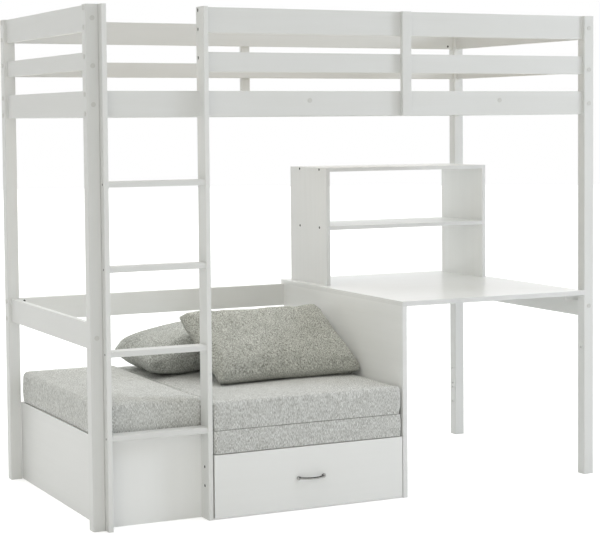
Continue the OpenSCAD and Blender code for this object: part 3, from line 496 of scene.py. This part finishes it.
def box_cushion(name, node, body, top_r, low_r, crown, seed, marks=None, plan_r=0.030,
                low_by=(0.0, 0.0), cloth=cloth_box, close=(), right_gap=0.0):
    """A foam cushion in its cover: soft edges, a crowned top and sides that draw in.

    low_by lowers the underside and the top, right_gap shortens the right end, and close names
    the faces, low or top, that lie flat on the next layer."""
    a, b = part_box(node)
    a, b = a - Vector((0, 0, low_by[0])), b - Vector((right_gap, 0, low_by[1]))
    size = np.array(b - a)
    size[2] -= crown
    edge = max(top_r, 0.012)
    xs = lattice_steps(size[0], PLAN_CELL, edge)
    ys = lattice_steps(size[1], PLAN_CELL, edge)
    zs = lattice_steps(size[2], HEIGHT_CELL, min(edge, size[2] * 0.25))
    base, faces = box_lattice(xs, ys, zs)
    half = size[:2] / 2
    p = base.copy()
    p[:, :2] -= half
    # the plan's corners
    d = np.abs(p[:, :2]) - (half - plan_r)
    out = np.maximum(d, 0)
    both = (out[:, 0] > 0) & (out[:, 1] > 0)
    reach = np.maximum(out[:, 0], out[:, 1])
    gone = np.maximum(np.linalg.norm(out, axis=1), 1e-12)
    way = out / gone[:, None]
    sign = np.where(p[:, :2] < 0, -1.0, 1.0)
    corner = (half - plan_r) + way * reach[:, None]
    p[:, :2] = np.where(both[:, None], sign * corner, p[:, :2])
    # how far each point lies inside the outline, and the way out
    single = np.where(d[:, :1] > d[:, 1:], [[1.0, 0.0]], [[0.0, 1.0]])
    outward = np.where(both[:, None], way, single) * sign
    depth = np.where(both, plan_r - reach, np.minimum(half[0] - np.abs(base[:, 0] - half[0]),
                                                     half[1] - np.abs(base[:, 1] - half[1])))
    # top and bottom edges
    z = base[:, 2]
    for r, height, upward in ((top_r, size[2] - z, 1), (low_r, z, -1)):
        oa = np.maximum(r - depth, 0)
        ob = np.maximum(r - height, 0)
        na, nb = quarter(oa, ob, r)
        shift = np.where((oa > 0) & (ob > 0), na - oa, 0)
        p[:, :2] += outward * shift[:, None]
        lift = np.where((oa > 0) & (ob > 0), nb - ob, 0)
        p[:, 2] += lift * upward
    # the crown of the top
    s = np.clip(depth / min(half), 0, 1)
    on_top = z >= size[2] - 1e-9
    rise = crown * (1 - (1 - s) ** 4)
    p[:, 2] += np.where(on_top, rise, 0)
    # the sides draw in between the corners, and the cover swells a little at mid height
    along = np.where(np.abs(outward[:, :1]) > np.abs(outward[:, 1:]),
                     p[:, 1:2] / half[1], p[:, :1] / half[0])[:, 0]
    bow = np.cos(np.clip(along, -1, 1) * math.pi / 2)
    level = np.sin(math.pi * np.clip(z / size[2], 0, 1))
    fade = np.clip(1 - depth / 0.05, 0, 1) ** 2
    move = fade * (-SIDE_DRAW * bow + SIDE_SWELL * level)
    p[:, :2] += outward * move[:, None]
    normals = vertex_normals(p, faces)
    ripple = waves(base, seed, (0.31, 0.17, 0.09), 0.0014)
    fine = waves(base, seed + 1, (0.05, 0.028), 0.0005) * np.clip(1 - depth / 0.07, 0, 1)
    keep, inset = np.where(z <= 1e-9, 0.25, 1.0), np.full(len(z), COVER_INSET)
    for face in close:
        flat = (z <= 1e-9) if face == "low" else on_top
        keep, inset = np.where(flat, 0.25, keep), np.where(flat, CLOSE_INSET, inset)
    p += normals * ((ripple + fine) * keep - inset)[:, None]
    if marks is not None:
        p = marks(p, base, size)
    p[:, 0] += a.x + half[0]
    p[:, 1] += a.y + half[1]
    p[:, 2] += a.z
    o = mesh_object(name, p, faces, [cloth])
    subdivided(o)
    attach(o, body)
    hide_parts(node)
    return o


def dent(x, centre, width):
    return np.exp(-((x - centre) / width) ** 2)


def upper_marks(p, base, size):
    """A short sewn fold near the left end of the front, and pulled cloth at the right end."""
    front = np.clip(1 - base[:, 1] / 0.004, 0, 1)
    fold = dent(base[:, 0], 0.013, 0.0035) * np.clip((base[:, 2] - 0.004) / 0.01, 0, 1)
    fold *= np.clip((0.078 - base[:, 2]) / 0.01, 0, 1)
    p[:, 1] += 0.0028 * fold * front
    pull = dent(base[:, 0], size[0], 0.05) * dent(base[:, 2], 0.0, 0.02)
    pull = pull * np.clip(1 - base[:, 1] / 0.08, 0, 1)
    p[:, 0] -= 0.006 * pull
    return p


BESIDE_GAP = 0.004  # between the seat cushion and the mattress beside it
JOINT_DROP = 0.005  # how far the layers' joint lies below that of their solids
CROWN, LAYER_CORNER_R, JOINT_R = 0.010, 0.016, 0.0018
cushion = box_cushion("seat_cushion_cover", "seat_cushion", "frame", top_r=0.015, low_r=0.006,
                      crown=CROWN, seed=11, cloth=cloth_seat, right_gap=BESIDE_GAP)
lower = box_cushion("mattress_lower_cover", "mattress_lower", "pullout", top_r=JOINT_R, low_r=0.0035,
                    crown=0.0, seed=23, plan_r=LAYER_CORNER_R, low_by=(0.0, JOINT_DROP), close=("top",))
upper = box_cushion("mattress_upper_cover", "mattress_upper", "pullout", top_r=0.014, low_r=JOINT_R,
                    crown=CROWN, seed=37, marks=upper_marks, plan_r=LAYER_CORNER_R,
                    low_by=(JOINT_DROP, 0.0), close=("low",))


# ---------------------------------------------------------------- pillows
def pillow_form(length, width, thick, nx, ny, full_end):
    """Two sheets sewn together all round, already plump: full in the middle, drawn in at the sides."""
    index, verts, faces = {}, [], []
    draw, corner = 0.003, 0.030

    def at(i, j, side):
        rim = i in (0, nx) or j in (0, ny)
        key = (i, j, 0 if rim else side)
        if key not in index:
            u, v = math.sin(math.pi * (i / nx - 0.5)), math.sin(math.pi * (j / ny - 0.5))
            u, v = 0.55 * u + 0.45 * (2 * i / nx - 1), 0.55 * v + 0.45 * (2 * j / ny - 1)
            x = u * (length / 2 - draw * math.cos(v * math.pi / 2) * abs(u) ** 2)
            y = v * (width / 2 - draw * math.cos(u * math.pi / 2) * abs(v) ** 2)
            cx, cy = max(abs(x) - (length / 2 - corner), 0), max(abs(y) - (width / 2 - corner), 0)
            if cx > 0 and cy > 0:
                m, h = max(cx, cy), math.hypot(cx, cy)
                x -= math.copysign(cx - cx / h * m, x)
                y -= math.copysign(cy - cy / h * m, y)
            full = (1 - abs(u) ** full_end) * (1 - abs(v) ** 3.2)
            z = 0 if rim else side * thick / 2 * max(full, 0) ** 0.5
            index[key] = len(verts)
            verts.append((x, y, z))
        return index[key]

    for side in (1, -1):
        for i in range(nx):
            for j in range(ny):
                quad = [at(i, j, side), at(i + 1, j, side), at(i + 1, j + 1, side), at(i, j + 1, side)]
                faces.append(quad if side == 1 else quad[::-1])
    rim = [at(i, 0, 0) for i in range(nx)] + [at(nx, j, 0) for j in range(ny)]
    rim += [at(i, ny, 0) for i in range(nx, 0, -1)] + [at(0, j, 0) for j in range(ny, 0, -1)]
    return np.array(verts), faces, rim


def inflate(verts, faces, pressure, frames, cap, spare):
    """Cloth pressure swells a sewn cover that is a little too large; no point moves further than cap."""
    o = mesh_object("inflating", verts, faces, [])
    c = o.modifiers.new("cloth", "CLOTH")
    s = c.settings
    s.quality = 7
    s.mass = 0.3
    s.tension_stiffness = s.compression_stiffness = 20
    s.shear_stiffness = 8
    s.bending_stiffness = 0.4
    s.tension_damping = s.compression_damping = s.shear_damping = 12
    s.air_damping = 3.0
    s.shrink_min = -spare
    s.use_pressure = True
    s.uniform_pressure_force = pressure
    s.effector_weights.gravity = 0
    c.point_cache.frame_start, c.point_cache.frame_end = 1, frames
    for step in range(1, frames + 1):
        bpy.context.scene.frame_set(step)
    dg = bpy.context.evaluated_depsgraph_get()
    done = o.evaluated_get(dg).data
    out = np.empty(len(verts) * 3)
    done.vertices.foreach_get("co", out)
    bpy.data.objects.remove(o)
    bpy.context.scene.frame_set(1)
    move = out.reshape(-1, 3) - verts
    far = np.maximum(np.linalg.norm(move, axis=1), 1e-9)
    return verts + move * (np.minimum(far, cap) / far)[:, None]


def tube(path, radius, sides=6):
    """A closed tube along a closed path."""
    n = len(path)
    ahead = np.roll(path, -1, 0) - np.roll(path, 1, 0)
    ahead /= np.linalg.norm(ahead, axis=1)[:, None]
    side = np.cross(ahead, [0, 0, 1.0])
    side /= np.maximum(np.linalg.norm(side, axis=1), 1e-9)[:, None]
    rise = np.cross(side, ahead)
    turns = [2 * math.pi * k / sides for k in range(sides)]
    verts = np.concatenate([path + (side * math.cos(a) + rise * math.sin(a)) * radius for a in turns])
    faces = []
    for k in range(sides):
        m = (k + 1) % sides
        for i in range(n):
            j = (i + 1) % n
            faces.append((k * n + i, k * n + j, m * n + j, m * n + i))
    return verts, faces


def gathered(p, faces, length, width, seed):
    """Short folds that run inward from each corner, where the filling doesn't reach."""
    normals = vertex_normals(p, faces)
    draw = np.random.RandomState(seed)
    depth = np.zeros(len(p))
    for sx in (-1, 1):
        for sy in (-1, 1):
            out = np.array([sx * length / 2, sy * width / 2]) - p[:, :2]
            far = np.hypot(out[:, 0], out[:, 1])
            angle = np.arctan2(sy * out[:, 1], sx * out[:, 0])
            shape = np.clip((far - 0.018) / 0.02, 0, 1) * np.exp(-((far - 0.03) / 0.045) ** 2)
            folds = np.cos(angle * 7 + draw.uniform(0, 2 * math.pi))
            depth += shape * (folds - 0.4) * draw.uniform(0.0022, 0.0036)
    return p + normals * depth[:, None]


SHEET_CELLS = (60, 42)
SLACK = (0.985, 0.98, 0.96)  # the form's size before it swells, as a share of the pillow's
SWELL_FRAMES, SWELL_CAP, SPARE_CLOTH = 18, 0.012, 0.05
PILLOW_SEAM_R = 0.0011


def pillow(name, node, cloth, place, size, pressure, seed, full_end, rests):
    """A pillow at its place, pushed out of what it rests on, with a seam round its rim."""
    length, width, thick = size
    start_size = [v * share for v, share in zip(size, SLACK)]
    p, faces, rim = pillow_form(*start_size, *SHEET_CELLS, full_end)
    p = inflate(p, faces, pressure, SWELL_FRAMES, SWELL_CAP, SPARE_CLOTH)
    p -= (p.max(0) + p.min(0)) / 2
    p *= np.array(size) / (p.max(0) - p.min(0))
    p[:, 2] += waves(p, seed, (0.30, 0.16), 0.003) * (np.abs(p[:, 2]) > thick * 0.1)
    p = gathered(p, faces, length, width, seed)
    p = (np.c_[p, np.ones(len(p))] @ np.array(place).T)[:, :3]
    for press in rests:
        p = press(p)
    verts = list(p)
    seam, seam_faces = tube(smooth_loop(p[rim]), PILLOW_SEAM_R)
    start = len(verts)
    verts += list(seam)
    joined = list(faces) + [tuple(i + start for i in f) for f in seam_faces]
    inverse = np.array(place.inverted())
    local = (np.c_[np.array(verts), np.ones(len(verts))] @ inverse.T)[:, :3]
    o = mesh_object(name, local, joined, [cloth, thread],
                    [0] * len(faces) + [1] * len(seam_faces))
    o.matrix_world = place
    subdivided(o)
    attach(o, "pullout")
    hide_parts(node)
    return o


def smooth_loop(path):
    return path * 0.5 + (np.roll(path, 1, 0) + np.roll(path, -1, 0)) * 0.25


def placed(x, y, z, tilt):
    turn = [Matrix.Rotation(math.radians(v), 4, axis) for v, axis in zip(tilt, "XYZ")]
    return Matrix.Translation(Vector((x, y, z)) + BED_TO_ROW) @ turn[2] @ turn[1] @ turn[0]


def tree_of(o):
    dg = bpy.context.evaluated_depsgraph_get()
    dg.update()
    e = o.evaluated_get(dg)
    m = e.to_mesh()
    verts = [o.matrix_world @ v.co for v in m.vertices]
    tree = BVHTree.FromPolygons(verts, [tuple(f.vertices) for f in m.polygons])
    e.to_mesh_clear()
    return tree


def rest_on(tree, gap, reach=0.06):
    """Moves each point that is behind the nearest surface of a piece, or closer than gap, out to gap."""
    def press(p):
        out = p.copy()
        for i, v in enumerate(p):
            at, normal, _, _ = tree.find_nearest(Vector(v), reach)
            if at is None:
                continue
            side = (Vector(v) - at).dot(normal)
            if side < gap:
                out[i] = np.array(at + normal * gap)
        return out
    return press


REAR_SIZE, FRONT_SIZE = (0.622, 0.404, 0.173), (0.614, 0.408, 0.134)
REAR_AT, REAR_TILT = (0.727, 0.765, 0.5203), (1, -6.5, 0)
FRONT_AT, FRONT_TILT = (0.872, 0.444, 0.5463), (31, 0.3, 4)
MATTRESS_GAP, PILLOW_GAP = 0.0012, 0.002
on_mattress = rest_on(tree_of(upper), MATTRESS_GAP)
rear_place = placed(*REAR_AT, REAR_TILT)
rear_pillow = pillow("pillow_rear_cover", "pillow_rear", cloth_rear, rear_place, REAR_SIZE,
                     pressure=7.0, seed=5, full_end=2.9, rests=[on_mattress])
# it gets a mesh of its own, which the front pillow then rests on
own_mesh(rear_pillow)
on_rear = rest_on(tree_of(rear_pillow), PILLOW_GAP)
front_place = placed(*FRONT_AT, FRONT_TILT)
pillow("pillow_front_cover", "pillow_front", cloth_front, front_place, FRONT_SIZE,
       pressure=5.0, seed=8, full_end=4.2, rests=[on_mattress, on_rear])


# ---------------------------------------------------------------- dark screw heads, their near-black partly painted shade of the screw holes
HEAD_R, HEAD_H, HEAD_SIDES = 0.0050, 0.0010, 24
SHELF_FROM_REAR, SHELF_LEVELS = (0.235, 0.418), (0.965, 1.2015)
STILE_LEVELS = (0.186, 0.119)


def screw_heads(name, places):
    """Shallow domed heads on faces that look along X; each place has its centre and the way out."""
    verts, faces = [], []
    around = [2 * math.pi * i / HEAD_SIDES for i in range(HEAD_SIDES)]
    for centre, way in places:
        start = len(verts)
        for reach, out in ((HEAD_R, 0.0001), (HEAD_R, HEAD_H * 0.6), (HEAD_R * 0.8, HEAD_H)):
            verts += [centre + Vector((way * out, way * reach * math.cos(a), reach * math.sin(a)))
                      for a in around]
        for k in range(2):
            for i in range(HEAD_SIDES):
                a, b = start + k * HEAD_SIDES + i, start + k * HEAD_SIDES + (i + 1) % HEAD_SIDES
                faces.append((a, b, b + HEAD_SIDES, a + HEAD_SIDES))
        faces.append([start + i for i in reversed(range(HEAD_SIDES))])
        faces.append([start + 2 * HEAD_SIDES + i for i in range(HEAD_SIDES)])
    o = mesh_object(name, verts, faces, [black_screw_hole_shade])
    o.data.polygons.foreach_set("use_smooth", [False] * len(faces))
    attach(o, "frame")
    return o


stile_lo, stile_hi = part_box("ladder_stile_right")
screw_heads("ladder_screw_heads", [
    (Vector((stile_lo.x, (stile_lo.y + stile_hi.y) / 2, z)), -1) for z in STILE_LEVELS])
left_face, right_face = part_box("hutch_side_left")[0].x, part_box("hutch_side_right")[1].x
screw_heads("shelf_screw_heads", [
    (Vector((x, y, z)), way) for x, way in ((left_face, -1), (right_face, 1))
    for y in SHELF_FROM_REAR for z in SHELF_LEVELS])


# ---------------------------------------------------------------- floor and light
def seen_directly(t):
    """1 for what the camera sees, itself or by reflection or through glass, and 0 for other light."""
    path = t.add("ShaderNodeLightPath").outputs
    by_way = t.math("ADD", path["Is Glossy Ray"], path["Is Transmission Ray"])
    return t.math("ADD", path["Is Camera Ray"], by_way, clamp=True)


FLOOR_RADII, FLOOR_SIDES, FLOOR_LIFT = (2.0, 5.0, 12.0, 30.0), 48, 0.42
ring = [(0.0, 0.0, 0.0)]
floor_faces = []
for r in FLOOR_RADII:
    ring += [(r * math.cos(2 * math.pi * i / FLOOR_SIDES), r * math.sin(2 * math.pi * i / FLOOR_SIDES), 0)
             for i in range(FLOOR_SIDES)]
for i in range(FLOOR_SIDES):
    j = (i + 1) % FLOOR_SIDES
    floor_faces.append((0, 1 + i, 1 + j))
    for k in range(len(FLOOR_RADII) - 1):
        a, b = 1 + k * FLOOR_SIDES, 1 + (k + 1) * FLOOR_SIDES
        floor_faces.append((a + i, b + i, b + j, a + j))
m, t = material("pale_floor")
seen = seen_directly(t)
diffuse = t.add("ShaderNodeBsdfDiffuse", {"Color": rgb(0.86, 0.86, 0.855)})
lift = t.add("ShaderNodeEmission", {"Color": rgb(1, 1, 1), "Strength": t.math("MULTIPLY", seen, FLOOR_LIFT)})
finish_material(t, t.add("ShaderNodeAddShader", {0: diffuse.outputs[0], 1: lift.outputs[0]}).outputs[0])
floor = mesh_object("floor", ring, floor_faces, [m])

world = bpy.data.worlds.new("studio")
bpy.context.scene.world = world
world.use_nodes = True
t = Tree(world.node_tree)
way = t.add("ShaderNodeSeparateXYZ", {0: t.add("ShaderNodeTexCoord").outputs["Generated"]}).outputs
SKY_REAR, SKY_RIGHT = 0.90, 0.56  # strength of the glow from behind and from the right
glow = t.math("MULTIPLY", t.math("MAXIMUM", way[1], 0.0), SKY_REAR)
glow = t.math("MULTIPLY_ADD", t.math("MAXIMUM", way[0], 0.0), SKY_RIGHT, glow)
seen = seen_directly(t)
fill = t.add("ShaderNodeBackground", {"Color": rgb(0.985, 1.005, 0.965), "Strength": glow})
white = t.add("ShaderNodeBackground", {"Color": rgb(1, 1, 1), "Strength": 1.0})
both = t.add("ShaderNodeMixShader", {0: seen, 1: fill.outputs[0], 2: white.outputs[0]})
t.add("ShaderNodeOutputWorld", {"Surface": both.outputs[0]})


def softbox(name, travel, colour, watts, at=None, width=1.27, spread=None):
    """A round area lamp at a place, or a wide distant lamp where none is given."""
    lamp_data = bpy.data.lights.new(name, "SUN" if at is None else "AREA")
    lamp_data.energy = watts
    lamp_data.color = colour
    if at is None:
        lamp_data.angle = math.radians(spread)
    else:
        lamp_data.shape = "DISK"
        lamp_data.size = width
    lamp = bpy.data.objects.new(name, lamp_data)
    lamp.location = at or (0, 0, 4)
    lamp.visible_glossy = lamp.visible_camera = False
    lamp.rotation_mode = "QUATERNION"
    lamp.rotation_quaternion = Vector(travel).to_track_quat("-Z", "Y")
    bpy.context.scene.collection.objects.link(lamp)


softbox("key", (-1.76, 1.0, -0.78), (0.93, 0.985, 1.10), 77.0, at=(4.66, -2.94, 2.88))
softbox("fill_front_left", (0.53, 0.74, -0.42), (1.015, 1.005, 0.94), 0.80, spread=50)
softbox("fill_under_bunk", (0.0, 0.5, -1.0), (1.0, 1.0, 1.0), 1.45, at=(-0.45, -0.05, 1.31), width=0.6)
softbox("fill_top", (0.0, 0.1, -1.0), (1.0, 1.0, 1.0), 1.45, spread=60)
softbox("fill_rear", (0.10, -0.70, -0.70), (1.0, 1.0, 1.0), 0.88, spread=40)
